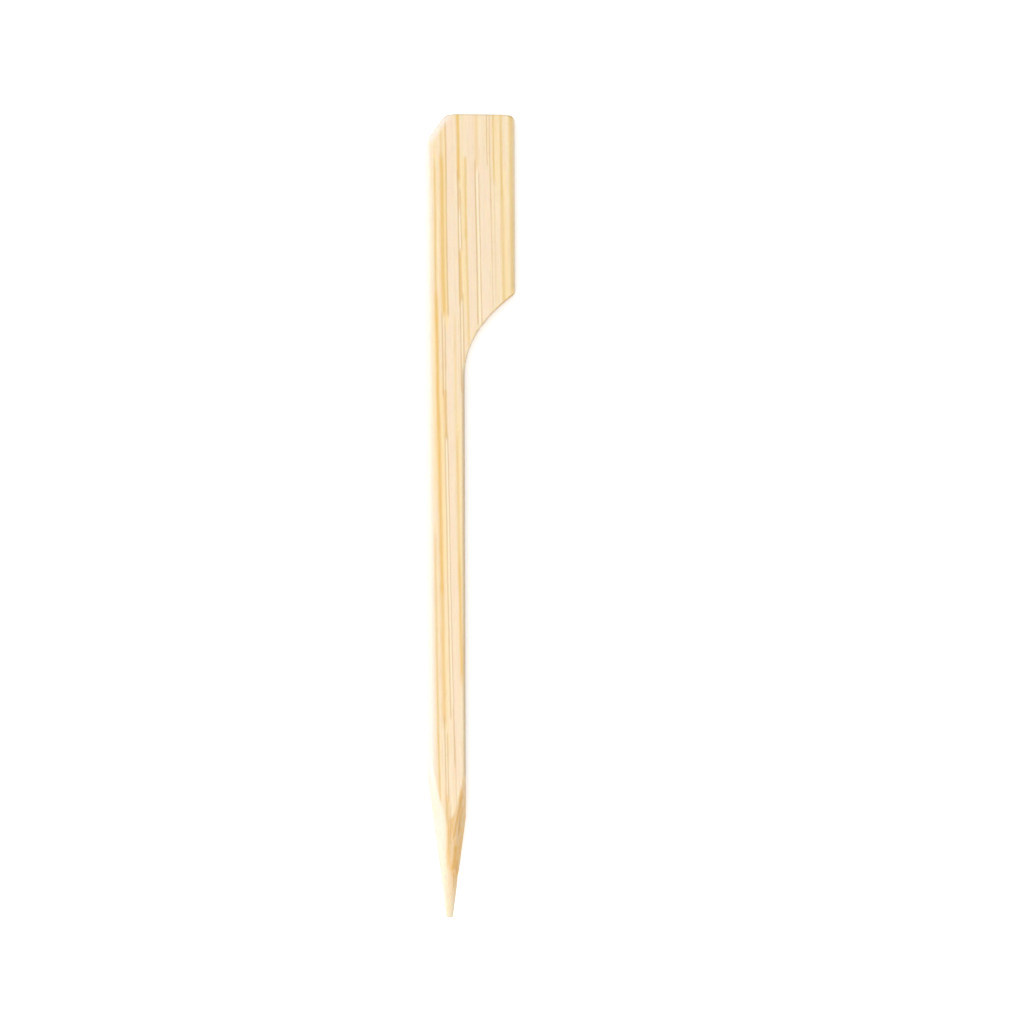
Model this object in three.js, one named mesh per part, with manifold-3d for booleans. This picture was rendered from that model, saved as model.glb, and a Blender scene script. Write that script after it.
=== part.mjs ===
// A bamboo paddle skewer: one flat strip of bamboo with a broad paddle at one end to hold it by,
// a hollow curved shoulder on one side, and a narrow shaft ground to a blunt round point.
// Sizes are in millimetres. The skewer lies on its broad face on z = 0. +Y runs along it from the
// point to the paddle, and +X towards the side that the shoulder cuts away. The origin is under
// the middle of the skewer.
import * as THREE from "three";
import { mergeVertices } from "three/addons/utils/BufferGeometryUtils.js";
import Module from "manifold-3d";

// The strip
const length = 90; // from the paddle's end to the point
const thickness = 3.5;
const paddleWidth = 10; // also the width of the strip that the skewer is cut from
const longEdgeRound = 0.55; // radius of the strip's four long edges
const cutEdgeBreak = 0.2; // how far the edges of every cut are rubbed back

// The paddle's end
const endOutOfSquare = 1.1; // degrees by which the end falls towards +X
const chamferAcross = 2.25; // the cut corner on the back edge, measured across the strip
const chamferAlong = 3.25; // and along it
const chamferRound = 0.9; // how far from its corners the cut corner starts to curve
const frontCornerRound = 0.8; // the same at the paddle's other corner

// The shoulder
const paddleLength = 20; // from the paddle's end to the shoulder's corner
const shoulderAngle = 37; // degrees below square at which the shoulder leaves its corner
const shoulderCornerRound = 0.3;
const neckLength = 9.2; // along the strip, from the shoulder's corner to the straight shaft

// The shaft
const shaftWidthAtNeck = 4.26;
const shaftWidthAtPoint = 4.17;

// The point
const pointHalfAngle = 7.3; // degrees, between the ground cone's side and its axis
const pointOffCentre = 0.27; // how far towards +X of the shaft's middle the cone's axis lies
const tipDiameter = 0.76; // across the blunt tip
const tipRound = 0.2; // radius of the blunt tip's rim

// Fineness of the curves
const edgeSteps = 5;
const outlineSteps = 14;
const coneSides = 72;
const overrun = 1; // how far a blank reaches past the cuts that trim it

const bambooColour = 0xf7e3c6;

const backEdge = -paddleWidth / 2;
const frontEdge = paddleWidth / 2;
const paddleEnd = length / 2;
const tipEnd = -length / 2;

const wasm = await Module();
wasm.setup();

/** The solid that a closed geometry bounds, once its doubled vertices are merged. */
function solidOf(geometry) {
  geometry.deleteAttribute("normal");
  geometry.deleteAttribute("uv");
  const merged = mergeVertices(geometry);
  const corners = merged.index.array;
  const kept = [];
  for (let i = 0; i < corners.length; i += 3) {
    const [a, b, c] = corners.subarray(i, i + 3);
    if (a !== b && b !== c && c !== a) kept.push(a, b, c);
  }
  return new wasm.Manifold(
    new wasm.Mesh({
      numProp: 3,
      vertProperties: new Float32Array(merged.attributes.position.array),
      triVerts: new Uint32Array(kept),
    }),
  );
}

/** The geometry of a solid's surface. */
function geometryOf(solid) {
  const { vertProperties, triVerts } = solid.getMesh();
  const geometry = new THREE.BufferGeometry();
  geometry.setAttribute("position", new THREE.BufferAttribute(vertProperties, 3));
  geometry.setIndex(new THREE.BufferAttribute(triVerts, 1));
  geometry.computeVertexNormals();
  return geometry;
}

/** The point on the straight line from a corner towards another point, a setback away from it. */
function alongEdge(corner, towards, setback) {
  const reach = Math.min(setback, corner.distanceTo(towards) / 2);
  return corner.clone().lerp(towards, reach / corner.distanceTo(towards));
}

/** Draws on to a corner between two straight edges and round it, starting a setback before it. */
function roundCorner(shape, before, corner, after, setback) {
  const start = alongEdge(corner, before, setback);
  const end = alongEdge(corner, after, setback);
  shape.lineTo(start.x, start.y);
  shape.quadraticCurveTo(corner.x, corner.y, end.x, end.y);
}

/** The strip's section across its length: a rectangle with round corners, standing on zero. */
function stripSection() {
  const radius = Math.min(longEdgeRound, thickness / 2, paddleWidth / 2);
  const shape = new THREE.Shape();
  shape.moveTo(backEdge + radius, 0);
  shape.lineTo(frontEdge - radius, 0);
  shape.absarc(frontEdge - radius, radius, radius, -Math.PI / 2, 0);
  shape.absarc(frontEdge - radius, thickness - radius, radius, 0, Math.PI / 2);
  shape.absarc(backEdge + radius, thickness - radius, radius, Math.PI / 2, Math.PI);
  shape.absarc(backEdge + radius, radius, radius, Math.PI, 1.5 * Math.PI);
  return shape;
}

/** The planed strip before it is cut to shape, a little longer than the skewer at both ends. */
function strip() {
  const depth = length + 2 * overrun;
  const settings = { depth, bevelEnabled: false, curveSegments: edgeSteps };
  const geometry = new THREE.ExtrudeGeometry(stripSection(), settings);
  geometry.rotateX(Math.PI / 2);
  geometry.translate(0, depth / 2, 0);
  return solidOf(geometry);
}

/** Where the paddle's sloping end is at a distance from the corner where it is highest. */
function endHeight(distance) {
  return paddleEnd - distance * Math.tan(THREE.MathUtils.degToRad(endOutOfSquare));
}

/** The skewer's outline seen from above, running on past the point. */
function outline() {
  const chamferTop = new THREE.Vector2(backEdge + chamferAcross, paddleEnd);
  const chamferFoot = new THREE.Vector2(backEdge, paddleEnd - chamferAlong);
  const frontCorner = new THREE.Vector2(frontEdge, endHeight(paddleWidth - chamferAcross));
  const shoulder = new THREE.Vector2(frontEdge, paddleEnd - paddleLength);
  const neck = new THREE.Vector2(backEdge + shaftWidthAtNeck, shoulder.y - neckLength);
  const slope = Math.tan(THREE.MathUtils.degToRad(shoulderAngle));
  const bend = new THREE.Vector2(neck.x, shoulder.y - (shoulder.x - neck.x) * slope);
  const shaftFoot = new THREE.Vector2(backEdge + shaftWidthAtPoint, tipEnd - overrun);
  const backFoot = new THREE.Vector2(backEdge, shaftFoot.y);

  const shape = new THREE.Shape();
  shape.moveTo(backFoot.x, backFoot.y);
  shape.lineTo(shaftFoot.x, shaftFoot.y);
  shape.lineTo(neck.x, neck.y);
  const curveStart = alongEdge(shoulder, bend, shoulderCornerRound);
  shape.quadraticCurveTo(bend.x, bend.y, curveStart.x, curveStart.y);
  roundCorner(shape, curveStart, shoulder, frontCorner, shoulderCornerRound);
  roundCorner(shape, shoulder, frontCorner, chamferTop, frontCornerRound);
  roundCorner(shape, frontCorner, chamferTop, chamferFoot, chamferRound);
  roundCorner(shape, chamferTop, chamferFoot, backFoot, chamferRound);
  return shape;
}

/** Everything inside the outline, as thick as the strip, with the edges of the cuts rubbed back. */
function cutOutline() {
  const rub = Math.min(cutEdgeBreak, thickness / 4, shaftWidthAtPoint / 4);
  const geometry = new THREE.ExtrudeGeometry(outline(), {
    depth: thickness - 2 * rub,
    bevelSize: rub,
    bevelThickness: rub,
    bevelOffset: -rub,
    bevelSegments: 3,
    curveSegments: outlineSteps,
  });
  geometry.translate(0, 0, rub);
  return solidOf(geometry);
}

/** The ground cone's radius at a distance from the tip. */
function coneRadius(distance) {
  return tipDiameter / 2 + distance * Math.tan(THREE.MathUtils.degToRad(pointHalfAngle));
}

/** Everything that the grinding leaves: a cone about the point's axis with a blunt rounded tip. */
function groundCone() {
  const rim = Math.min(tipRound, tipDiameter / 2);
  const reach = length + overrun;
  const profile = new THREE.Path();
  profile.moveTo(0, tipEnd);
  profile.lineTo(tipDiameter / 2 - rim, tipEnd);
  profile.quadraticCurveTo(tipDiameter / 2, tipEnd, coneRadius(rim), tipEnd + rim);
  profile.lineTo(coneRadius(reach), tipEnd + reach);
  profile.lineTo(0, tipEnd + reach);
  const geometry = new THREE.LatheGeometry(profile.getPoints(edgeSteps), coneSides);
  geometry.translate(backEdge + shaftWidthAtPoint / 2 + pointOffCentre, 0, thickness / 2);
  return solidOf(geometry);
}

/** The whole skewer: the strip, cut to its outline and ground to a point. */
function skewer() {
  const solid = strip().intersect(cutOutline()).intersect(groundCone());
  const material = new THREE.MeshStandardMaterial({
    color: bambooColour,
    roughness: 0.6,
    metalness: 0,
    flatShading: true,
  });
  const mesh = new THREE.Mesh(geometryOf(solid), material);
  mesh.name = "skewer";
  return mesh;
}

const group = new THREE.Group();
group.add(skewer());

export default group;
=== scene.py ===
"""A bamboo paddle skewer that lies on its broad face on a pale floor, seen from straight above.

Shapes are worked out in millimetres and finishes read the same millimetres, measured from the
paddle's back corner: across the strip from its back edge, along it from the paddle's end, and down
from its upper face. A mesh is turned into metres in the shared frame as its last step.
"""

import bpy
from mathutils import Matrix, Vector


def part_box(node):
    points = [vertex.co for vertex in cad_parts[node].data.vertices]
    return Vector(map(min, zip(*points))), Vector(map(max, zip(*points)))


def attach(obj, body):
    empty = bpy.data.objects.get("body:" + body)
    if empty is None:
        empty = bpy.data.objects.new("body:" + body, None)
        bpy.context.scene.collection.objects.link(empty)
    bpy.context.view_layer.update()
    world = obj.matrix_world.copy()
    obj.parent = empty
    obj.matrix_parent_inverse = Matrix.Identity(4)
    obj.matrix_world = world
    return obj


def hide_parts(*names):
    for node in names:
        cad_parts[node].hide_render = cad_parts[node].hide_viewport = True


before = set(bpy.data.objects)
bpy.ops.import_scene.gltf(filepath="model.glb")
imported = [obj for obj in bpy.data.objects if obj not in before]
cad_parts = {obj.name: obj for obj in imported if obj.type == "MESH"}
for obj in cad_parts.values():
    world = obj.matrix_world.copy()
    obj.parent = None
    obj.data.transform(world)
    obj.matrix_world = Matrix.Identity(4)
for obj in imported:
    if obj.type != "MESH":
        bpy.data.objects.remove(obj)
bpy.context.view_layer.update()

import logging
import math
from dataclasses import dataclass, field
from enum import Enum
from typing import Union

import bmesh
import bpy
import numpy as np
from mathutils import Euler, Vector

NODE = "skewer"
BODY = "root"
CUT_ACROSS = "cut_across"
MM = 0.001
TURN = 2 * math.pi

Array = np.ndarray
Rgb = tuple[float, float, float]
ScreenRgb = tuple[int, int, int]
Socket = bpy.types.NodeSocket
log = logging.getLogger("skewer")


# Sizes and outline


@dataclass(frozen=True)
class Sizes:
    """The skewer's sizes in millimetres. The first three come from the frame."""

    length: float
    thickness: float
    paddle_width: float
    long_edge_round: float = 0.55
    chamfer_edge_round: float = 0.35
    cut_edge_round: float = 0.16
    shaft_edge_round: float = 0.38
    end_rim_round: float = 0.12
    end_out_of_square: float = math.radians(1.1)
    chamfer_across: float = 2.25
    chamfer_along: float = 3.25
    chamfer_round: float = 0.9
    corner_round: float = 0.8
    paddle_length: float = 20.0
    shoulder_angle: float = math.radians(37)
    shoulder_corner_round: float = 0.3
    neck_length: float = 9.2
    shaft_width_at_neck: float = 4.26
    shaft_width_at_point: float = 4.17
    point_half_angle: float = math.radians(7.3)
    point_off_centre: float = 0.27
    tip_radius: float = 0.38
    tip_round: float = 0.20

    @classmethod
    def of_node(cls, node: str) -> "Sizes":
        """The sizes of the skewer whose solid is a node of the frame.

        Args:
            node: the name of the CAD node.

        Returns:
            The sizes, with the overall ones taken from the node's box.
        """
        low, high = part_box(node)
        width, length, thickness = ((high - low) / MM)[:]
        return cls(round(length, 1), round(thickness, 2), round(width, 2))

    @property
    def middle(self) -> float:
        """The height of the point's axis."""
        return self.thickness / 2

    @property
    def axis(self) -> float:
        """How far the point's axis lies from the back edge."""
        return self.shaft_width_at_point / 2 + self.point_off_centre


def arc(start: Array, bend: Array, end: Array, steps: int = 24) -> Array:
    """Points on a curve that leaves its start towards the bend and reaches its end from the bend.

    The curve is start (1 - t)^2 + 2 bend t (1 - t) + end t^2 for t from 0 to 1.

    Args:
        start: the first point, as (along, across).
        bend: the point where the tangents at both ends meet.
        end: the last point.
        steps: how many points.

    Returns:
        The points, one per row.
    """
    t = np.linspace(0, 1, steps)[:, None]
    start, bend, end = np.asarray(start), np.asarray(bend), np.asarray(end)
    return start * (1 - t) ** 2 + 2 * bend * t * (1 - t) + end * t**2


class Outline:
    """The skewer's outline seen from above: where its two edges are at any distance along it."""

    def __init__(self, sizes: Sizes) -> None:
        """Draws both edges.

        Args:
            sizes: the skewer's sizes.
        """
        self.sizes = sizes
        self.back_line = self._back()
        self.front_line = self._front()

    def _back(self) -> Array:
        """Draws the back edge: the paddle's cut corner, and then straight to the point.

        Returns:
            Its points, one per row, as (along, across).
        """
        s = self.sizes
        side = math.hypot(s.chamfer_across, s.chamfer_along)
        step = np.array([s.chamfer_along, -s.chamfer_across]) / side * s.chamfer_round
        top = np.array([0.0, s.chamfer_across])
        foot = np.array([s.chamfer_along, 0.0])
        upper = arc(top + (0, s.chamfer_round), top, top + step)
        lower = arc(foot - step, foot, foot + (s.chamfer_round, 0))
        return np.vstack([upper, lower, [[s.length, 0.0]]])

    def _front(self) -> Array:
        """Draws the front edge: the paddle's small corner, its side, the shoulder and the shaft.

        Returns:
            Its points, one per row, as (along, across).
        """
        s = self.sizes
        corner = np.array([0.0, s.paddle_width])
        shoulder = np.array([s.paddle_length, s.paddle_width])
        drop = (s.paddle_width - s.shaft_width_at_neck) * math.tan(s.shoulder_angle)
        bend = np.array([s.paddle_length + drop, s.shaft_width_at_neck])
        neck = np.array([s.paddle_length + s.neck_length, s.shaft_width_at_neck])
        towards = (bend - shoulder) / np.linalg.norm(bend - shoulder)
        leave = shoulder + towards * s.shoulder_corner_round
        first = arc(corner - (0, s.corner_round), corner, corner + (s.corner_round, 0))
        second = arc(shoulder - (s.shoulder_corner_round, 0), shoulder, leave)
        third = arc(leave, bend, neck, 60)[1:]
        return np.vstack([first, second, third, [[s.length, s.shaft_width_at_point]]])

    def back(self, along: Array) -> Array:
        """The back edge's place across the strip."""
        return np.interp(along, self.back_line[:, 0], self.back_line[:, 1])

    def front(self, along: Array) -> Array:
        """The front edge's place across the strip."""
        return np.interp(along, self.front_line[:, 0], self.front_line[:, 1])


# Relief


@dataclass(frozen=True)
class Waves:
    """A gentle unevenness: the mean of many sine waves with seeded directions and phases."""

    height: float
    across: tuple[float, float]
    along: tuple[float, float]
    count: int
    seed: int

    def at(self, points: Array) -> Array:
        """The unevenness at some points.

        It is the sum of sin(kx x + ky y + kz z + phase), divided by the root of half the count
        and times the height, with each wave's length drawn from the given spans.

        Args:
            points: places in millimetres, with across, along and up on the last axis.

        Returns:
            A height in millimetres for each point.
        """
        draw = np.random.default_rng(self.seed)
        turn = draw.uniform(0, TURN, self.count)
        side = TURN / draw.uniform(*self.across, self.count)
        lengthwise = TURN / draw.uniform(*self.along, self.count)
        waves = np.stack([side * np.cos(turn), lengthwise, side * np.sin(turn)])
        phase = draw.uniform(0, TURN, self.count)
        total = np.sin(points @ waves + phase).sum(axis=-1)
        return self.height * total / math.sqrt(self.count / 2)


@dataclass(frozen=True)
class Dent:
    """A small chip out of the wood, or with a negative depth a raised sliver."""

    across: float
    along: float
    up: float
    radius: tuple[float, float]
    depth: float

    def at(self, points: Array) -> Array:
        """How far the surface moves inwards at some points.

        It is the depth times exp(-distance^2), with the distance from the middle in radii.

        Args:
            points: places in millimetres, with across, along and up on the last axis.

        Returns:
            A depth in millimetres for each point.
        """
        wide, long = self.radius
        apart = (points - (self.across, self.along, self.up)) / (wide, long, wide)
        return self.depth * np.exp(-(apart**2).sum(axis=-1))


# The skewer's mesh


def soft_least(first: Array, second: Array, blend: float) -> Array:
    """The smaller of two values, rounded off where they are within a blend of each other.

    With h = (1 + (second - first) / blend) / 2, kept between 0 and 1, it is the mix
    second + (first - second) h, less blend h (1 - h).

    Args:
        first: one set of values.
        second: the other.
        blend: how close the values are where the rounding starts.

    Returns:
        The rounded smaller values.
    """
    h = np.clip(0.5 + 0.5 * (second - first) / blend, 0, 1)
    return second + (first - second) * h - blend * h * (1 - h)


def smooth_step(value: Array, low: float, high: float) -> Array:
    """0 below low, 1 above high, and 3 t^2 - 2 t^3 between them."""
    t = np.clip((value - low) / (high - low), 0, 1)
    return t * t * (3 - 2 * t)


@dataclass
class Skewer:
    """The skewer's one piece: a round-edged section run along the strip and ground to a point."""

    sizes: Sizes
    face_steps: int = 92
    side_steps: int = 13
    edge_steps: int = 8
    cap_rings: int = 9
    grind_blend: float = 0.05
    grind_reach: float = 21.0
    slope_reach: float = 6.0
    merge_distance: float = 0.0005
    dents: tuple[Dent, ...] = ()
    relief: tuple[Waves, ...] = ()
    outline: Outline = field(init=False)

    def __post_init__(self) -> None:
        """Draws the outline that the section follows."""
        self.outline = Outline(self.sizes)

    def stations(self) -> Array:
        """Places the sections, close together where the skewer's shape changes.

        Returns:
            Each section's distance along the skewer.
        """
        s = self.sizes
        shoulder, neck = s.paddle_length, s.paddle_length + s.neck_length
        grind = s.length - self.grind_reach
        near_tip = s.length - 2.5 * s.tip_round
        runs = [
            s.chamfer_round * np.linspace(0, 1, 22, endpoint=False) ** 2,
            np.linspace(s.chamfer_round, s.chamfer_along + s.chamfer_round, 26, endpoint=False),
            np.linspace(s.chamfer_along + s.chamfer_round, shoulder - 0.5, 44, endpoint=False),
            np.linspace(shoulder - 0.5, shoulder + 1.2, 20, endpoint=False),
            np.linspace(shoulder + 1.2, neck + 2.0, 54, endpoint=False),
            np.linspace(neck + 2.0, grind, 84, endpoint=False),
            np.linspace(grind, near_tip, 86, endpoint=False),
            s.length - (s.length - near_tip) * np.linspace(1, 0, 14) ** 2,
        ]
        return np.concatenate(runs)

    def section(self) -> tuple[Array, Array]:
        """The section's points, as shares of the sizes that it is drawn from.

        Going round from the upper back edge, a point lies at
        across = a . (back, front, back radius, front radius) and
        up = b . (lower face, upper face, back radius, front radius).

        Returns:
            The rows a and the rows b, one for each point.
        """
        face = np.linspace(0, 1, self.face_steps, endpoint=False)[:, None]
        side = np.linspace(0, 1, self.side_steps, endpoint=False)[:, None]
        turn = np.linspace(0, math.pi / 2, self.edge_steps, endpoint=False)[:, None]
        c, s = 1 - np.cos(turn), 1 - np.sin(turn)

        def rows(*columns: Union[Array, float]) -> Array:
            """Columns of numbers or arrays, side by side."""
            count = max(len(v) for v in columns if isinstance(v, np.ndarray))
            return np.hstack([np.broadcast_to(v, (count, 1)) for v in columns])

        across = np.vstack([
            rows(1 - face, face, 1 - face, -face),
            rows(0.0, 1.0, 0.0, -s),
            rows(0.0, 1.0, 0.0, 0.0 * side),
            rows(0.0, 1.0, 0.0, -c),
            rows(face, 1 - face, face, face - 1),
            rows(1.0, 0.0, s, 0.0),
            rows(1.0, 0.0, 0.0 * side, 0.0),
            rows(1.0, 0.0, c, 0.0),
        ])
        up = np.vstack([
            rows(0.0, 1.0, 0.0, 0.0 * face),
            rows(0.0, 1.0, 0.0, -c),
            rows(side, 1 - side, 0.0, 2 * side - 1),
            rows(1.0, 0.0, 0.0, s),
            rows(1.0, 0.0, 0.0, 0.0 * face),
            rows(1.0, 0.0, c, 0.0),
            rows(1 - side, side, 1 - 2 * side, 0.0),
            rows(0.0, 1.0, -s, 0.0),
        ])
        return across, up

    def radii(self, along: Array) -> tuple[Array, Array]:
        """The rounding of the two edges: straight lines and one smooth step between set radii.

        Args:
            along: distances along the skewer.

        Returns:
            The radius of the back edge and of the front edge at each distance.
        """
        s = self.sizes
        shoulder, neck = s.paddle_length, s.paddle_length + s.neck_length
        chamfer = smooth_step(along, s.chamfer_along - 0.4, s.chamfer_along + s.chamfer_round)
        back = s.chamfer_edge_round + (s.long_edge_round - s.chamfer_edge_round) * chamfer
        marks = [shoulder - 0.6, shoulder + 0.1, neck - 1.5, neck + 2.0]
        sizes = [s.long_edge_round, s.cut_edge_round, s.cut_edge_round, s.shaft_edge_round]
        return back, np.interp(along, marks, sizes)

    def cone(self, along: Array) -> Array:
        """The ground cone's radius, with a quarter circle at the blunt tip's rim.

        It is the tip's radius plus the distance from the tip times the tangent of the half angle.
        Closer to the tip than its round, the circle takes round - sqrt(round^2 - depth^2) off.

        Args:
            along: distances along the skewer.

        Returns:
            The radius at each distance.
        """
        s = self.sizes
        distance = s.length - along
        slope = math.tan(s.point_half_angle)
        rim = np.clip(s.tip_round - distance, 0, s.tip_round)
        side = s.tip_radius + np.maximum(distance, s.tip_round) * slope
        return side - s.tip_round + np.sqrt(s.tip_round**2 - rim**2)

    def skin(self) -> Array:
        """Puts the sections in place and grinds them.

        Each section is the table of shares times the edges, faces and radii at its station. Its
        points are then drawn in towards the point's axis until none lies outside the cone.

        Returns:
            An array of stations by points by (across, along, up).
        """
        s = self.sizes
        along = self.stations()
        rim = np.clip(s.end_rim_round - along, 0, s.end_rim_round)
        inset = s.end_rim_round - np.sqrt(s.end_rim_round**2 - rim**2)
        back, front = self.outline.back(along) + inset, self.outline.front(along) - inset
        low, high = inset, s.thickness - inset
        limit = np.minimum(front - back, high - low) * 0.45
        back_radius, front_radius = (np.minimum(r, limit) for r in self.radii(along))
        across_rows, up_rows = self.section()
        across = np.stack([back, front, back_radius, front_radius], axis=-1) @ across_rows.T
        up = np.stack([low, high, back_radius, front_radius], axis=-1) @ up_rows.T
        reach = np.hypot(across - s.axis, up - s.middle)
        kept = soft_least(reach, self.cone(along)[:, None], self.grind_blend) / reach
        across = s.axis + (across - s.axis) * kept
        up = s.middle + (up - s.middle) * kept
        return np.stack([across, np.broadcast_to(along[:, None], across.shape), up], axis=-1)

    def outward(self, skin: Array) -> Array:
        """Unit vectors out of the skin, from the cross product of its two directions.

        Args:
            skin: stations by points by (across, along, up).

        Returns:
            A unit vector for each point.
        """
        round_it = np.roll(skin, -1, axis=1) - np.roll(skin, 1, axis=1)
        along_it = np.gradient(skin, axis=0)
        normal = np.cross(round_it, along_it)
        return normal / np.maximum(np.linalg.norm(normal, axis=-1, keepdims=True), 1e-12)

    def worn(self, skin: Array) -> Array:
        """Moves the skin out by its unevenness and in by its dents, but not at either end.

        Args:
            skin: stations by points by (across, along, up).

        Returns:
            The moved points.
        """
        s = self.sizes
        ends = smooth_step(skin[..., 1], 0.0, 0.3) * smooth_step(s.length - skin[..., 1], 0.0, 1.0)
        raised = sum(waves.at(skin) for waves in self.relief)
        sunk = sum(dent.at(skin) for dent in self.dents)
        return skin + self.outward(skin) * ((raised - sunk) * ends)[..., None]

    def cap(self, ring: Array) -> Array:
        """Rings that close an end: each point of the last ring moves straight to its middle line.

        The middle line runs along the end at mid height, as far as the end is wider than high.

        Args:
            ring: the ring of points to close.

        Returns:
            The inner rings, the last of which lies on the middle line.
        """
        low, high = ring.min(axis=0), ring.max(axis=0)
        half = (high[2] - low[2]) / 2
        middle = (low[2] + high[2]) / 2
        centre = (low[0] + high[0]) / 2
        ends = min(low[0] + half, centre), max(high[0] - half, centre)
        target = ring.copy()
        target[:, 0] = np.clip(ring[:, 0], *ends)
        target[:, 2] = middle
        share = np.linspace(0, 1, self.cap_rings + 1)[1:, None, None]
        return ring + (target - ring) * share

    def end_grain(self, rings: Array) -> Array:
        """Roughens the paddle's end, cut with a saw: its inner rings move in and out by a few
        hundredths.

        Args:
            rings: the rings that close the end, the last of them on its middle line.

        Returns:
            The moved rings.
        """
        rough = Waves(height=0.012, across=(0.25, 0.9), along=(50, 60), count=26, seed=41)
        moved = rings.copy()
        moved[..., 1] += rough.at(rings)
        moved[-1, :, 1] = moved[-1, :, 1].mean()
        return moved

    def sloped(self, points: Array) -> Array:
        """Sets the paddle's end a little out of square.

        Each point moves along by its distance across from the cut corner times the tangent of
        the angle, and less and less over the slope's reach.

        Args:
            points: places in millimetres, with across, along and up on the last axis.

        Returns:
            The moved points.
        """
        s = self.sizes
        lag = (points[..., 0] - s.chamfer_across) * math.tan(s.end_out_of_square)
        moved = points.copy()
        moved[..., 1] += lag * (1 - smooth_step(points[..., 1], 0.0, self.slope_reach))
        return moved

    def in_frame(self, points: Array) -> Array:
        """Turns places on the skewer into metres in the shared frame.

        Args:
            points: places in millimetres, with across, along and up on the last axis.

        Returns:
            The places as (x, y, z).
        """
        s = self.sizes
        across, along, up = np.moveaxis(points, -1, 0)
        return np.stack([across - s.paddle_width / 2, s.length / 2 - along, up], axis=-1) * MM

    def build(self, name: str) -> bpy.types.Object:
        """Makes the skewer's mesh object.

        Args:
            name: the piece's name.

        Returns:
            The object, at the origin, with its place in its mesh.
        """
        skin = self.worn(self.skin())
        first = self.end_grain(self.cap(skin[0]))[::-1]
        last = self.cap(skin[-1])
        grid = self.in_frame(self.sloped(np.concatenate([first, skin, last])))
        rows, columns = grid.shape[:2]
        index = np.arange(rows * columns).reshape(rows, columns)
        after = np.roll(index, -1, axis=1)
        quads = np.stack([index[:-1], after[:-1], after[1:], index[1:]], axis=-1).reshape(-1, 4)
        mesh = bpy.data.meshes.new(name)
        mesh.from_pydata(grid.reshape(-1, 3).tolist(), [], quads.tolist())
        self.close(mesh)
        self.mark_cuts(mesh)
        mesh.polygons.foreach_set("use_smooth", np.ones(len(mesh.polygons), bool))
        piece = bpy.data.objects.new(name, mesh)
        bpy.context.scene.collection.objects.link(piece)
        return piece

    def close(self, mesh: bpy.types.Mesh) -> None:
        """Joins the points that meet on the middle lines and turns every face outwards.

        Args:
            mesh: the skewer's mesh.
        """
        shape = bmesh.new()
        shape.from_mesh(mesh)
        bmesh.ops.remove_doubles(shape, verts=shape.verts, dist=self.merge_distance * MM)
        bmesh.ops.recalc_face_normals(shape, faces=shape.faces)
        shape.to_mesh(mesh)
        shape.free()

    @staticmethod
    def mark_cuts(mesh: bpy.types.Mesh) -> None:
        """Keeps in the mesh how squarely each place is cut across the fibres.

        It is the size of the normal's part along the strip: 1 on the ends and 0 on the faces.

        Args:
            mesh: the closed mesh.
        """
        normals = np.empty(3 * len(mesh.vertices), dtype=np.float32)
        mesh.vertex_normals.foreach_get("vector", normals)
        kept = mesh.attributes.new(CUT_ACROSS, "FLOAT", "POINT")
        kept.data.foreach_set("value", np.abs(normals[1::3]))


# Shader arithmetic


@dataclass(frozen=True)
class Value:
    """A number that varies over a surface. Python's arithmetic on it adds Math nodes."""

    maker: "Maker"
    socket: Socket

    def _math(self, operation: str, *operands: Union["Value", float]) -> "Value":
        """Adds a Math node."""
        inputs = dict(enumerate(operands))
        return self.maker.value("ShaderNodeMath", {"operation": operation}, inputs)

    def __add__(self, other: Union["Value", float]) -> "Value":
        """Self plus other."""
        return self._math("ADD", self, other)

    __radd__ = __add__

    def __sub__(self, other: Union["Value", float]) -> "Value":
        """Self minus other."""
        return self._math("SUBTRACT", self, other)

    def __rsub__(self, other: float) -> "Value":
        """Other minus self."""
        return self._math("SUBTRACT", other, self)

    def __mul__(self, other: Union["Value", float]) -> "Value":
        """Self times other."""
        return self._math("MULTIPLY", self, other)

    __rmul__ = __mul__

    def __abs__(self) -> "Value":
        """Self without its sign."""
        return self._math("ABSOLUTE", self)

    def least(self, other: Union["Value", float]) -> "Value":
        """The smaller of self and other."""
        return self._math("MINIMUM", self, other)

    def root(self) -> "Value":
        """The square root."""
        return self._math("SQRT", self)

    def between(self, low: float, high: float, start: float = 0.0, end: float = 1.0) -> "Value":
        """A smooth step from start, where self is at low, to end, where it is at high.

        Args:
            low: where the step begins. It may be more than high.
            high: where the step is complete.
            start: the result before the step.
            end: the result after it.

        Returns:
            The step's height.
        """
        ends = {1: low, 2: high, 3: start, 4: end}
        return self.maker.value(
            "ShaderNodeMapRange", {"interpolation_type": "SMOOTHSTEP"}, {0: self, **ends}
        )


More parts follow.
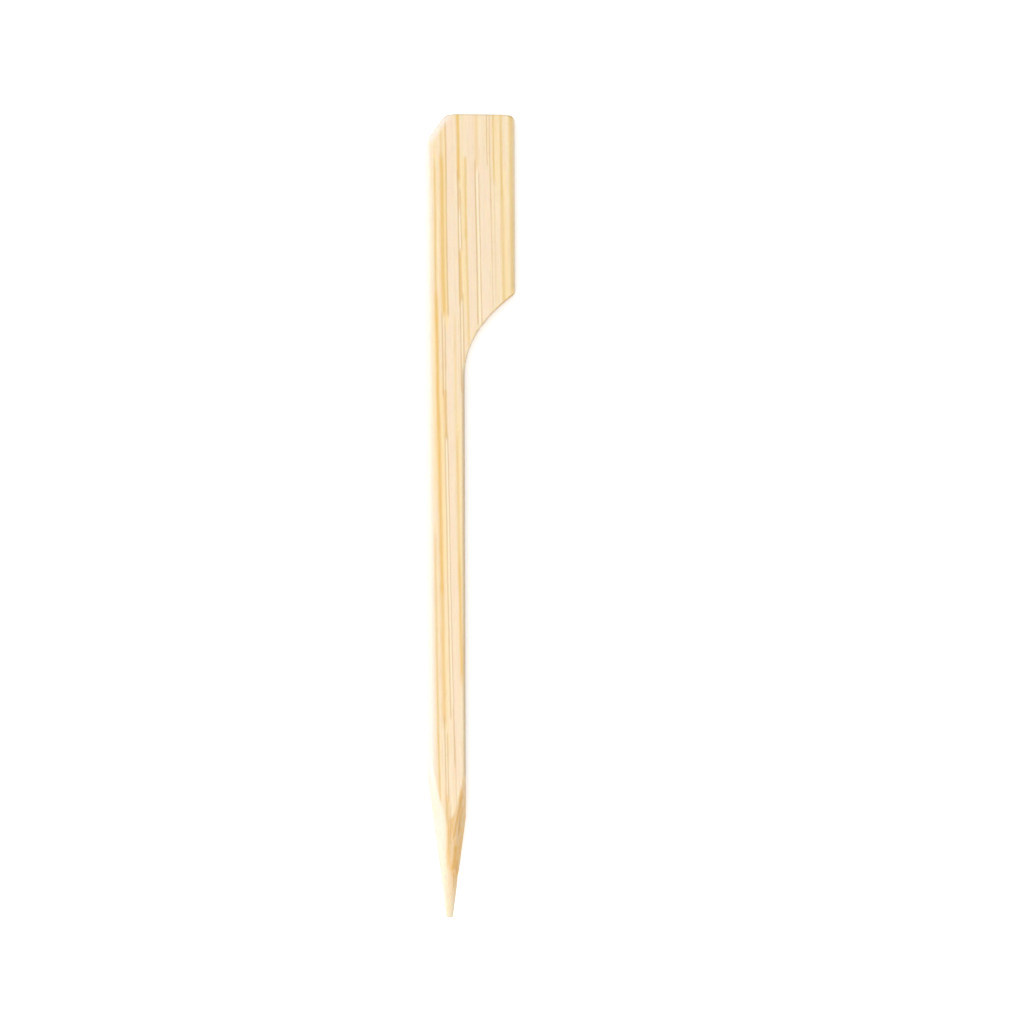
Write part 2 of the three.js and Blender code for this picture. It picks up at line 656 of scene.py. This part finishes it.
class Maker:
    """Adds nodes to one node tree."""

    def __init__(self, tree: bpy.types.NodeTree) -> None:
        """Empties the tree.

        Args:
            tree: the tree to add to.
        """
        self.tree = tree
        tree.nodes.clear()

    def node(
        self,
        kind: str,
        settings: dict[str, object],
        inputs: dict[Union[str, int], object],
    ) -> bpy.types.Node:
        """Adds a node.

        Args:
            kind: the node's type.
            settings: attributes of the node, which are set first.
            inputs: a value or a link for each socket, by its name or number.

        Returns:
            The node.
        """
        made = self.tree.nodes.new(kind)
        for name, setting in settings.items():
            setattr(made, name, setting)
        for key, given in inputs.items():
            source = given.socket if isinstance(given, Value) else given
            if isinstance(source, Socket):
                self.tree.links.new(source, made.inputs[key])
            else:
                made.inputs[key].default_value = source
        return made

    def value(
        self,
        kind: str,
        settings: dict[str, object],
        inputs: dict[Union[str, int], object],
        output: Union[str, int] = 0,
    ) -> Value:
        """Adds a node and takes one of its outputs as a value."""
        return Value(self, self.node(kind, settings, inputs).outputs[output])

    def blend(
        self,
        first: object,
        second: object,
        share: Union[Value, float],
        kind: str = "MIX",
    ) -> Socket:
        """Mixes two colours.

        Args:
            first: the colour where the share is 0.
            second: the colour where the share is 1.
            share: how much of the second shows.
            kind: how the two are mixed.

        Returns:
            The mixed colour's socket.
        """
        settings = {"data_type": "RGBA", "blend_type": kind}
        return self.node("ShaderNodeMix", settings, {0: share, 6: first, 7: second}).outputs[2]

    def vector(
        self,
        across: Union[Value, float],
        along: Union[Value, float],
        up: Union[Value, float],
    ) -> Socket:
        """A vector from its three numbers."""
        return self.node("ShaderNodeCombineXYZ", {}, {0: across, 1: along, 2: up}).outputs[0]

    def noise(self, where: Socket, detail: float = 2.0) -> Value:
        """Soft noise about 0.5, with features one unit wide."""
        inputs = {"Vector": where, "Scale": 1.0, "Detail": detail}
        return self.value("ShaderNodeTexNoise", {}, inputs)


def rgb(red: int, green: int, blue: int) -> tuple[float, float, float, float]:
    """Turns a colour as it looks on a screen into the linear numbers that a shader takes.

    Args:
        red: from 0 to 255.
        green: from 0 to 255.
        blue: from 0 to 255.

    Returns:
        Red, green, blue and a full alpha, from 0 to 1.
    """
    shown = np.array([red, green, blue]) / 255
    linear = np.where(shown <= 0.04045, shown / 12.92, ((shown + 0.055) / 1.055) ** 2.4)
    return (*linear.tolist(), 1.0)


# The bamboo's finish


@dataclass(frozen=True)
class Streaks:
    """Noise drawn out along the fibres: how many of its features a millimetre holds."""

    across: float
    along: float
    detail: float = 2.0

    def place(self, maker: Maker, across: Value, along: Value, up: Value) -> Socket:
        """Where in the noise a place on the skewer lies."""
        return maker.vector(across * self.across, along * self.along, up * self.across)

    def at(self, maker: Maker, across: Value, along: Value, up: Value) -> Value:
        """The noise at a place on the skewer."""
        return maker.noise(self.place(maker, across, along, up), self.detail)


SWAY = Streaks(0.4, 0.07)
SHIVER = Streaks(3, 0.9)
FIBRES = Streaks(11, 0.5, 3.0)
GRIT = Streaks(9, 4, 3.0)
TONGUES = Streaks(1.6, 0.30)
FRAYS = Streaks(6, 0.9)
BANDS = Streaks(0.9, 0.02)
THREADS = Streaks(3.4, 0.06, 3.0)
HAIRS = Streaks(15, 0.3)
PORES = Streaks(20, 1.5, 1.0)
CELLS = Streaks(1.15, 0.013)
GAPS = Streaks(5, 0.22)


class Tone(Enum):
    """The kinds of fibre that show in the upper face, by their colour. Each overlies the last."""

    ROSE = (247, 224, 200)
    WARM = (254, 226, 166)
    HONEY = (236, 195, 115)
    OLIVE = (234, 203, 135)
    BROWN = (219, 185, 132)
    LIGHT = (255, 241, 210)


@dataclass(frozen=True)
class Strand:
    """A bundle of fibres that the upper face lays open, as one line of another colour.

    Its places are millimetres: along the skewer from the paddle's end, and across it from the back
    edge at the strand's start and at its end.
    """

    tone: Tone
    along: tuple[float, float]
    across: tuple[float, float]
    width: float
    strength: float
    fade: float = 1.2


STRANDS = (
    Strand(Tone.ROSE, (-2, 24.0), (2.55, 2.95), 0.90, 0.60, 3.0),
    Strand(Tone.ROSE, (-2, 24.0), (4.95, 5.20), 0.85, 0.60, 3.0),
    Strand(Tone.ROSE, (5.0, 24.0), (6.35, 6.70), 1.20, 0.60, 3.0),
    Strand(Tone.ROSE, (24.0, 76.0), (2.45, 3.15), 0.85, 0.60, 4.0),
    Strand(Tone.WARM, (2.0, 25.0), (1.10, 1.40), 0.50, 0.30, 5.0),
    Strand(Tone.WARM, (1.0, 24.0), (2.08, 2.30), 0.28, 0.80, 2.0),
    Strand(Tone.WARM, (4.5, 21.5), (4.02, 4.28), 0.42, 0.60, 2.0),
    Strand(Tone.WARM, (-2, 8.0), (7.85, 8.05), 0.80, 0.45, 3.0),
    Strand(Tone.WARM, (6.0, 21.0), (8.86, 9.06), 0.40, 0.55, 2.5),
    Strand(Tone.WARM, (22.0, 43.0), (0.75, 0.98), 0.60, 0.45, 5.0),
    Strand(Tone.WARM, (29.0, 52.0), (1.55, 2.00), 0.42, 0.65, 5.0),
    Strand(Tone.WARM, (33.0, 53.0), (3.60, 3.76), 0.50, 0.55, 4.0),
    Strand(Tone.WARM, (54.0, 72.0), (2.05, 2.20), 0.40, 0.35, 4.0),
    Strand(Tone.OLIVE, (-2, 6.0), (1.62, 1.71), 0.26, 0.65),
    Strand(Tone.HONEY, (4.6, 22.6), (1.71, 1.97), 0.44, 1.00, 1.6),
    Strand(Tone.OLIVE, (6.0, 21.0), (1.78, 2.00), 0.22, 0.90, 3.0),
    Strand(Tone.OLIVE, (2.9, 8.2), (0.53, 0.55), 0.14, 0.40),
    Strand(Tone.OLIVE, (5.0, 21.6), (0.94, 1.12), 0.24, 0.95, 3.0),
    Strand(Tone.HONEY, (20.0, 34.6), (1.09, 1.29), 0.36, 1.00, 1.6),
    Strand(Tone.HONEY, (34.0, 53.6), (1.29, 1.63), 0.40, 0.95, 1.5),
    Strand(Tone.HONEY, (52.6, 68.4), (1.61, 1.84), 0.46, 0.70, 1.8),
    Strand(Tone.BROWN, (-2, 22.6), (2.13, 2.42), 0.17, 0.80, 0.8),
    Strand(Tone.BROWN, (22.2, 31.6), (1.72, 1.87), 0.16, 0.75, 1.0),
    Strand(Tone.BROWN, (23.3, 36.5), (2.05, 2.19), 0.15, 0.75, 1.0),
    Strand(Tone.BROWN, (26.6, 28.6), (2.10, 2.13), 0.16, 0.60, 0.5),
    Strand(Tone.HONEY, (30.9, 36.3), (2.03, 2.10), 0.36, 0.75, 0.6),
    Strand(Tone.HONEY, (-2, 7.4), (3.51, 3.63), 0.34, 1.00, 1.2),
    Strand(Tone.BROWN, (6.4, 21.4), (3.51, 3.74), 0.16, 0.85, 1.0),
    Strand(Tone.HONEY, (6.6, 10.6), (3.68, 3.70), 0.20, 0.50, 1.0),
    Strand(Tone.BROWN, (8.4, 15.2), (3.80, 3.95), 0.16, 0.70, 0.9),
    Strand(Tone.HONEY, (15.0, 21.2), (3.77, 3.84), 0.30, 0.80, 1.0),
    Strand(Tone.BROWN, (20.8, 31.0), (3.75, 3.88), 0.16, 0.80, 1.0),
    Strand(Tone.BROWN, (20.0, 27.8), (4.04, 4.19), 0.15, 0.80, 0.8),
    Strand(Tone.LIGHT, (11.3, 15.2), (3.72, 3.79), 0.16, 0.80, 0.8),
    Strand(Tone.LIGHT, (20.9, 28.6), (3.91, 4.02), 0.16, 0.75, 0.8),
    Strand(Tone.OLIVE, (4.8, 14.0), (4.41, 4.47), 0.28, 0.90, 0.8),
    Strand(Tone.OLIVE, (13.0, 26.0), (4.46, 4.75), 0.24, 0.85, 1.0),
    Strand(Tone.HONEY, (-2, 6.0), (5.60, 5.68), 0.42, 0.42, 1.2),
    Strand(Tone.BROWN, (5.2, 23.6), (5.49, 5.77), 0.15, 0.85, 0.8),
    Strand(Tone.LIGHT, (6.3, 23.6), (5.72, 6.00), 0.18, 0.85, 1.0),
    Strand(Tone.BROWN, (6.5, 23.8), (5.89, 6.21), 0.14, 0.60, 1.0),
    Strand(Tone.BROWN, (-2, 5.8), (6.74, 6.86), 0.14, 0.70, 0.8),
    Strand(Tone.BROWN, (-2, 10.2), (7.05, 7.24), 0.15, 0.60, 1.2),
    Strand(Tone.BROWN, (9.6, 21.5), (7.27, 7.44), 0.12, 0.42, 1.0),
    Strand(Tone.OLIVE, (-2, 7.6), (7.47, 7.65), 0.22, 0.90, 1.6),
    Strand(Tone.BROWN, (7.4, 21.4), (7.64, 7.81), 0.12, 0.28, 1.2),
    Strand(Tone.OLIVE, (-2, 9.0), (8.37, 8.52), 0.26, 0.90, 1.2),
    Strand(Tone.HONEY, (4.4, 9.4), (8.46, 8.53), 0.18, 0.60, 1.0),
    Strand(Tone.OLIVE, (8.5, 21.2), (8.53, 8.69), 0.38, 0.78, 1.0),
    Strand(Tone.OLIVE, (-2, 20.4), (9.46, 9.62), 0.44, 0.85, 1.0),
    Strand(Tone.OLIVE, (22.6, 36.0), (3.14, 3.24), 0.26, 0.50, 2.0),
    Strand(Tone.OLIVE, (36.0, 53.0), (3.34, 3.62), 0.32, 0.75, 2.2),
    Strand(Tone.HONEY, (50.0, 63.5), (3.57, 3.80), 0.30, 0.85, 3.0),
    Strand(Tone.BROWN, (36.0, 67.7), (1.99, 2.53), 0.15, 0.65, 1.2),
    Strand(Tone.LIGHT, (36.6, 66.2), (2.15, 2.72), 0.16, 0.70, 1.2),
    Strand(Tone.BROWN, (36.0, 73.0), (2.29, 2.94), 0.15, 0.72, 1.5),
    Strand(Tone.OLIVE, (47.0, 70.4), (0.84, 1.12), 0.26, 0.85, 4.0),
    Strand(Tone.OLIVE, (69.0, 77.0), (1.09, 1.28), 0.20, 0.90, 1.2),
    Strand(Tone.BROWN, (67.4, 79.4), (1.81, 2.03), 0.14, 0.70, 1.0),
    Strand(Tone.BROWN, (69.3, 77.0), (2.14, 2.27), 0.14, 0.65, 0.7),
    Strand(Tone.BROWN, (69.6, 77.5), (2.95, 3.11), 0.14, 0.35, 1.2),
)

POINT_MARKS = (
    Strand(Tone.HONEY, (76.3, 83.4), (2.18, 2.32), 0.46, 0.55, 1.6),
    Strand(Tone.HONEY, (76.2, 80.9), (3.82, 2.85), 0.24, 0.85, 0.8),
    Strand(Tone.HONEY, (82.0, 84.5), (3.02, 2.86), 0.34, 0.80, 0.6),
    Strand(Tone.HONEY, (85.1, 86.7), (2.83, 2.78), 0.14, 0.80, 0.6),
    Strand(Tone.BROWN, (77.0, 82.3), (2.20, 2.26), 0.14, 0.50, 1.0),
    Strand(Tone.BROWN, (77.4, 81.6), (2.52, 2.48), 0.13, 0.45, 1.0),
)


@dataclass(frozen=True)
class BambooFinish:
    """Planed raw bamboo: pale ground tissue with fibre bundles running through it."""

    sizes: Sizes
    strands: tuple[Strand, ...]
    marks: tuple[Strand, ...]
    pale: ScreenRgb = (250, 230, 198)
    cool: ScreenRgb = (247, 226, 194)
    warm: ScreenRgb = (252, 226, 180)
    bundle: ScreenRgb = (226, 186, 118)
    # cut: the darker tone of end grain, also used as painted shade on the cone's front side
    cut: ScreenRgb = (236, 200, 132)
    # painted highlight: near white for the lamp-lit back arris and the cone's back side
    painted_highlight: ScreenRgb = (255, 245, 236)
    flame: ScreenRgb = (246, 206, 126)
    scorched: ScreenRgb = (230, 188, 118)
    # painted shade: grey multiplied along the shaft's front edge, away from the main lamp
    painted_edge_shade: ScreenRgb = (226, 222, 215)
    hair: ScreenRgb = (232, 205, 160)
    sheen: ScreenRgb = (255, 240, 214)
    pore: ScreenRgb = (222, 190, 140)
    grain_start: float = 0.05
    grain_lean: float = 0.0145
    sway: float = 0.22
    shiver: float = 0.03
    flank_start: tuple[float, float] = (26.0, 30.0)
    roughness: float = 0.52
    glow: float = 0.25
    glow_reach: Rgb = (1.6, 0.8, 0.25)

    def material(self) -> bpy.types.Material:
        """Makes the material.

        Returns:
            The material. What varies is worked out from Object coordinates and from how
            squarely the mesh says that each place is cut.
        """
        made = bpy.data.materials.new("planed bamboo")
        made.use_nodes = True
        maker = Maker(made.node_tree)
        s = self.sizes
        texture = maker.node("ShaderNodeTexCoord", {}, {})
        split = maker.node("ShaderNodeSeparateXYZ", {}, {0: texture.outputs["Object"]})
        x, y, z = (Value(maker, output) * (1 / MM) for output in split.outputs)
        across, along, up = x + s.paddle_width / 2, s.length / 2 - y, z
        sway = (SWAY.at(maker, across, along, up) - 0.5) * self.sway
        shiver = (SHIVER.at(maker, across, along, up) - 0.5) * self.shiver
        across_grain = across - self.grain_start + sway + shiver
        level = across_grain - along * self.grain_lean
        depth = s.thickness - up
        squarely = maker.value("ShaderNodeAttribute", {"attribute_name": CUT_ACROSS}, {}, "Fac")
        end_on = squarely.between(0.2, 0.85)
        ground = self.ground(maker, across, along, up)
        colour = self.tissue(maker, level, along, up)
        colour, dark = self.bundles(maker, colour, level, along, up, depth)
        shallow = depth.between(1.1, 0.5)
        colour = self.lay_strands(maker, colour, across_grain, along, self.strands, shallow)
        # Painted shade: the ground cone's front side, away from the main lamp, is darkened below
        # and alone gets the flames.
        shaded = ground * across.between(1.9, 2.7) * along.between(s.length - 1.5, s.length - 6)
        colour = self.flames(maker, colour, level, along, up, shaded)
        upward = depth.between(s.middle, s.middle - 0.5)
        colour = self.lay_strands(maker, colour, across, along, self.marks, upward)
        # Painted highlight: near white on the upper back arris and the cone's back side, which face
        # the main lamp.
        colour = maker.blend(colour, rgb(*self.painted_highlight), self.painted_highlight_share(across, along, depth, ground))
        # Partly the darker end grain of the cut ends, partly painted shade on the cone's front
        # side.
        end_grain_and_painted_shade = shaded * 0.35 + end_on * along.between(s.length - 0.5, s.length - 1.5, 0.1, 0.7)
        colour = maker.blend(colour, rgb(*self.cut), end_grain_and_painted_shade, "MULTIPLY")
        # Painted shade: a grey multiply along the shaft's front edge, the side away from the main
        # lamp.
        flank = across.between(s.shaft_width_at_neck - 0.45, s.shaft_width_at_point)
        flank = flank * along.between(*self.flank_start) * (1 - ground)
        colour = maker.blend(colour, rgb(*self.painted_edge_shade), flank, "MULTIPLY")
        fibres = FIBRES.at(maker, level, along, up)
        grit = GRIT.at(maker, across, along, up)
        rough = self.roughness + (fibres - 0.5) * 0.18 + ground * 0.06 + end_on * 0.2 - dark * 0.06
        height = fibres * (1 - end_on) + grit * (end_on + ground * 0.35) - dark * 0.3
        bump = maker.node(
            "ShaderNodeBump", {}, {"Strength": 0.55, "Distance": 0.02 * MM, "Height": height}
        )
        shader = maker.node(
            "ShaderNodeBsdfPrincipled",
            {"subsurface_method": "RANDOM_WALK"},
            {
                "Base Color": colour,
                "Roughness": rough,
                "Normal": bump.outputs[0],
                "Subsurface Weight": self.glow,
                "Subsurface Radius": self.glow_reach,
                "Subsurface Scale": MM,
                "Specular IOR Level": 0.2,
            },
        )
        maker.node("ShaderNodeOutputMaterial", {}, {0: shader.outputs[0]})
        return made

    def ground(self, maker: Maker, across: Value, along: Value, up: Value) -> Value:
        """1 on the ground cone and 0 on the planed faces, from how near the cone's side is.

        Args:
            maker: adds the nodes.
            across: millimetres from the back edge.
            along: millimetres from the paddle's end.
            up: millimetres above the lower face.

        Returns:
            How far each place is ground.
        """
        s = self.sizes
        side, rise = across - s.axis, up - s.middle
        reach = (side * side + rise * rise).root()
        cone = (s.length - along) * math.tan(s.point_half_angle) + s.tip_radius
        return (cone - reach).between(0.10, 0.02)

    def flames(
        self,
        maker: Maker,
        colour: Socket,
        level: Value,
        along: Value,
        up: Value,
        share: Value,
    ) -> Socket:
        """Lays on the short darker flames where the grinding cuts slantwise through bundles.

        Args:
            maker: adds the nodes.
            colour: the colour so far.
            level: millimetres across the fibres.
            along: millimetres along the skewer.
            up: millimetres above the lower face.
            share: where the flames show: only the cone's front side, where they add to its painted
                shade.

        Returns:
            The colour with its flames.
        """
        tongue = TONGUES.at(maker, level, along, up)
        frayed = FRAYS.at(maker, level, along, up)
        torn = tongue + (frayed - 0.5) * 0.35
        colour = maker.blend(colour, rgb(*self.flame), torn.between(0.46, 0.56) * share * 0.6)
        return maker.blend(colour, rgb(*self.scorched), torn.between(0.59, 0.66) * share * 0.6)

    def painted_highlight_share(self, across: Value, along: Value, depth: Value, ground: Value) -> Value:
        """How much painted highlight there is: along the upper back arris, and on the cone's back
        side.

        Args:
            across: millimetres from the back edge.
            along: millimetres from the paddle's end.
            depth: millimetres below the upper face.
            ground: 1 on the ground cone.

        Returns:
            0 for the wood's own colour and 1 for the painted highlight's white.
        """
        s = self.sizes
        corner = math.hypot(s.chamfer_across, s.chamfer_along)
        cut = across * (s.chamfer_along / corner) + along * (s.chamfer_across / corner)
        from_cut = (cut - s.chamfer_across * s.chamfer_along / corner) * 1.05
        from_edge = (across - along * 0.003).least(from_cut)
        arris = from_edge.between(0.95, 0.15) * depth.between(0.9, 0.3)
        arris = arris * along.between(s.length - 12, s.length - 17, 0.0, 0.85)
        flank = ground * across.between(2.3, 1.5) * depth.between(2.9, 1.9) * 0.5
        return 1 - (1 - arris) * (1 - flank)

    def tissue(self, maker: Maker, level: Value, along: Value, up: Value) -> Socket:
        """The pale ground tissue: broad bands, finer bands, and hair-fine fibres and pores.

        Args:
            maker: adds the nodes.
            level: millimetres across the fibres.
            along: millimetres along the skewer.
            up: millimetres above the lower face.

        Returns:
            The tissue's colour.
        """
        bands = BANDS.at(maker, level, along, up)
        threads = THREADS.at(maker, level, along, up)
        hairs = HAIRS.at(maker, level, along, up)
        pores = PORES.at(maker, level, along, up)
        colour = maker.blend(rgb(*self.pale), rgb(*self.cool), bands.between(0.42, 0.62))
        colour = maker.blend(colour, rgb(*self.warm), threads.between(0.46, 0.74) * 0.6)
        colour = maker.blend(colour, rgb(*self.hair), hairs.between(0.50, 0.76) * 0.6)
        colour = maker.blend(colour, rgb(*self.sheen), hairs.between(0.46, 0.24) * 0.4)
        return maker.blend(colour, rgb(*self.pore), pores.between(0.62, 0.78) * 0.45)

    def bundles(
        self,
        maker: Maker,
        colour: Socket,
        level: Value,
        along: Value,
        up: Value,
        depth: Value,
    ) -> tuple[Socket, Value]:
        """The bundles inside the wood, which its sides, its underside and its cuts lay open.

        They are the middles of cells that are about a millimetre apart and very long.

        Args:
            maker: adds the nodes.
            colour: the colour so far.
            level: millimetres across the fibres.
            along: millimetres along the skewer.
            up: millimetres above the lower face.
            depth: millimetres below the upper face.

        Returns:
            The colour with its bundles, and how much of a bundle each place is.
        """
        inputs = {"Vector": CELLS.place(maker, level, along, up), "Scale": 1.0}
        cells = maker.node("ShaderNodeTexVoronoi", {"feature": "F1"}, inputs)
        near = Value(maker, cells.outputs["Distance"])
        each = maker.value("ShaderNodeSeparateColor", {}, {0: cells.outputs["Color"]})
        gaps = GAPS.at(maker, level, along, up)
        core = near.between(0.30, 0.12) * each.between(0.1, 0.9, 0.35, 1.0)
        core = core * gaps.between(0.30, 0.55, 0.45, 1.0)
        inside = core * depth.between(0.12, 0.45)
        return maker.blend(colour, rgb(*self.bundle), inside), inside

    def lay_strands(
        self,
        maker: Maker,
        colour: Socket,
        across: Value,
        along: Value,
        strands: tuple[Strand, ...],
        share: Value,
    ) -> Socket:
        """Lays strands over a colour, one tone over another.

        Args:
            maker: adds the nodes.
            colour: the colour so far.
            across: millimetres across the strip, as the strands measure it.
            along: millimetres from the paddle's end.
            strands: the strands to lay.
            share: how far they may show.

        Returns:
            The colour with its strands.
        """
        uneven = maker.noise(maker.vector(across * 4, along * 0.25, 0.0), 3.0)
        share = share * uneven.between(0.2, 0.6, 0.7, 1.0)
        for tone in Tone:
            chosen = [strand for strand in strands if strand.tone is tone]
            masks = [self.strand(across, along, strand) for strand in chosen]
            if not masks:
                continue
            clear = 1 - masks[0]
            for mask in masks[1:]:
                clear = clear * (1 - mask)
            colour = maker.blend(colour, rgb(*tone.value), (1 - clear) * share)
        return colour

    @staticmethod
    def strand(across: Value, along: Value, strand: Strand) -> Value:
        """How much a strand shows: a soft line across, with soft ends along.

        Args:
            across: millimetres across the strip, as the strands measure it.
            along: millimetres from the paddle's end.
            strand: the strand.

        Returns:
            0 away from the strand, up to its strength in its middle.
        """
        start, end = strand.along
        lean = (strand.across[1] - strand.across[0]) / (end - start)
        apart = abs(across - along * lean - (strand.across[0] - start * lean))
        line = apart.between(strand.width * 0.95, 0.0)
        half = strand.fade / 2
        shown = line * along.between(end + half, end - half, 0.0, strand.strength)
        if start < 0:
            return shown
        return shown * along.between(start - half, start + half)


# The stage


@dataclass(frozen=True)
class Softbox:
    """A square lamp that looks at the skewer's middle."""

    place: tuple[float, float, float]
    side: float
    power: float

    def add(self, name: str) -> None:
        """Adds the lamp.

        Args:
            name: the lamp's name.
        """
        light = bpy.data.lights.new(name, "AREA")
        light.shape = "SQUARE"
        light.size = self.side
        light.energy = self.power
        lamp = bpy.data.objects.new(name, light)
        lamp.location = self.place
        lamp.rotation_euler = (-Vector(self.place)).to_track_quat("-Z", "Y").to_euler()
        bpy.context.scene.collection.objects.link(lamp)


@dataclass(frozen=True)
class Stage:
    """The white floor, the white surroundings and the lamps."""

    floor_side: float = 3.0
    floor_drop: float = 0.02 * MM
    floor_white: float = 0.85
    floor_lift: float = 0.71
    # how far the painted contact shadow reaches
    painted_contact_shadow: float = 1.25 * MM
    surroundings: float = 0.46
    lamps: tuple[Softbox, ...] = (
        Softbox((-0.38, -0.05, 0.40), 0.34, 2.12),
        Softbox((0.45, -0.05, 0.26), 0.30, 0.74),
    )

    def build(self) -> None:
        """Adds the floor, the world and the lamps."""
        self.floor()
        self.world()
        for number, lamp in enumerate(self.lamps, 1):
            lamp.add(f"softbox {number}")

    def floor(self) -> None:
        """A matt white plane that also looks white to the camera, apart from a painted contact
        shadow.
        """
        half = self.floor_side / 2
        corners = [(-half, -half), (half, -half), (half, half), (-half, half)]
        mesh = bpy.data.meshes.new("floor")
        mesh.from_pydata([(x, y, -self.floor_drop) for x, y in corners], [], [(0, 1, 2, 3)])
        made = bpy.data.materials.new("white floor")
        made.use_nodes = True
        maker = Maker(made.node_tree)
        path = maker.node("ShaderNodeLightPath", {}, {})
        seen = Value(maker, path.outputs["Is Camera Ray"])
        # Painted contact shadow: ambient occlusion dims the camera-only glow where the skewer is
        # close.
        painted_contact_shadow = maker.value(
            "ShaderNodeAmbientOcclusion", {"samples": 8}, {"Distance": self.painted_contact_shadow}, "AO"
        )
        matt = maker.node(
            "ShaderNodeBsdfDiffuse", {}, {"Color": (self.floor_white,) * 3 + (1.0,)}
        )
        lift = maker.node(
            "ShaderNodeEmission", {}, {"Strength": seen * self.floor_lift * painted_contact_shadow}
        )
        both = maker.node("ShaderNodeAddShader", {}, {0: matt.outputs[0], 1: lift.outputs[0]})
        maker.node("ShaderNodeOutputMaterial", {}, {0: both.outputs[0]})
        mesh.materials.append(made)
        plane = bpy.data.objects.new("floor", mesh)
        bpy.context.scene.collection.objects.link(plane)

    def world(self) -> None:
        """Even white light from all round, which looks full white itself."""
        made = bpy.data.worlds.new("white room")
        made.use_nodes = True
        maker = Maker(made.node_tree)
        path = maker.node("ShaderNodeLightPath", {}, {})
        kinds = ("Camera", "Glossy", "Transmission")
        rays = [Value(maker, path.outputs[f"Is {kind} Ray"]) for kind in kinds]
        shown = 1 - (1 - rays[0]) * (1 - rays[1]) * (1 - rays[2])
        strength = shown * (1 - self.surroundings) + self.surroundings
        back = maker.node("ShaderNodeBackground", {}, {"Color": (1, 1, 1, 1), "Strength": strength})
        maker.node("ShaderNodeOutputWorld", {}, {0: back.outputs[0]})
        bpy.context.scene.world = made


@dataclass(frozen=True)
class Overhead:
    """The camera: it looks straight down on the skewer, which lies left of its picture's middle."""

    picture_width: float = 114.61
    middle_across: float = 4.53
    middle_along: float = 0.43
    lean: float = math.radians(-0.25)
    lens: float = 200.0
    film: float = 36.0

    def add(self, top: float) -> None:
        """Adds the camera.

        Args:
            top: the height in metres of the face that the picture's width is measured at.
        """
        camera = bpy.data.cameras.new("overhead")
        camera.lens = self.lens
        camera.sensor_width = self.film
        camera.clip_start = 0.01
        holder = bpy.data.objects.new("overhead", camera)
        height = self.picture_width * MM * self.lens / self.film
        holder.location = (self.middle_across * MM, self.middle_along * MM, top + height)
        holder.rotation_euler = Euler((0.0, 0.0, self.lean))
        bpy.context.scene.collection.objects.link(holder)
        bpy.context.scene.camera = holder


def build_skewer() -> bpy.types.Object:
    """Builds and dresses the skewer's one piece.

    Returns:
        The piece, riding on the part's only body.
    """
    sizes = Sizes.of_node(NODE)
    skewer = Skewer(
        sizes,
        dents=(
            Dent(5.75, 24.5, sizes.thickness, (0.22, 0.35), 0.12),
            Dent(4.55, 27.3, sizes.thickness - 0.3, (0.25, 0.2), -0.07),
            Dent(9.95, 20.05, sizes.thickness, (0.2, 0.2), 0.06),
            Dent(3.35, 85.5, sizes.middle, (0.4, 0.45), 0.08),
        ),
        relief=(
            Waves(height=0.004, across=(0.35, 1.3), along=(14, 40), count=24, seed=7),
            Waves(height=0.003, across=(6, 14), along=(1.0, 2.2), count=10, seed=11),
            Waves(height=0.008, across=(9, 20), along=(12, 45), count=10, seed=19),
        ),
    )
    piece = skewer.build("bamboo_skewer")
    piece.data.materials.append(BambooFinish(sizes, STRANDS, POINT_MARKS).material())
    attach(piece, BODY)
    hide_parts(NODE)
    log.info("%s: %d faces", piece.name, len(piece.data.polygons))
    return piece


def main() -> None:
    """Builds the skewer, its stage and the camera."""
    logging.basicConfig(level=logging.INFO, format="%(name)s: %(message)s")
    bpy.context.scene.view_settings.view_transform = "Standard"
    build_skewer()
    Stage().build()
    Overhead().add(top=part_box(NODE)[1].z)


if __name__ == "__main__":
    main()
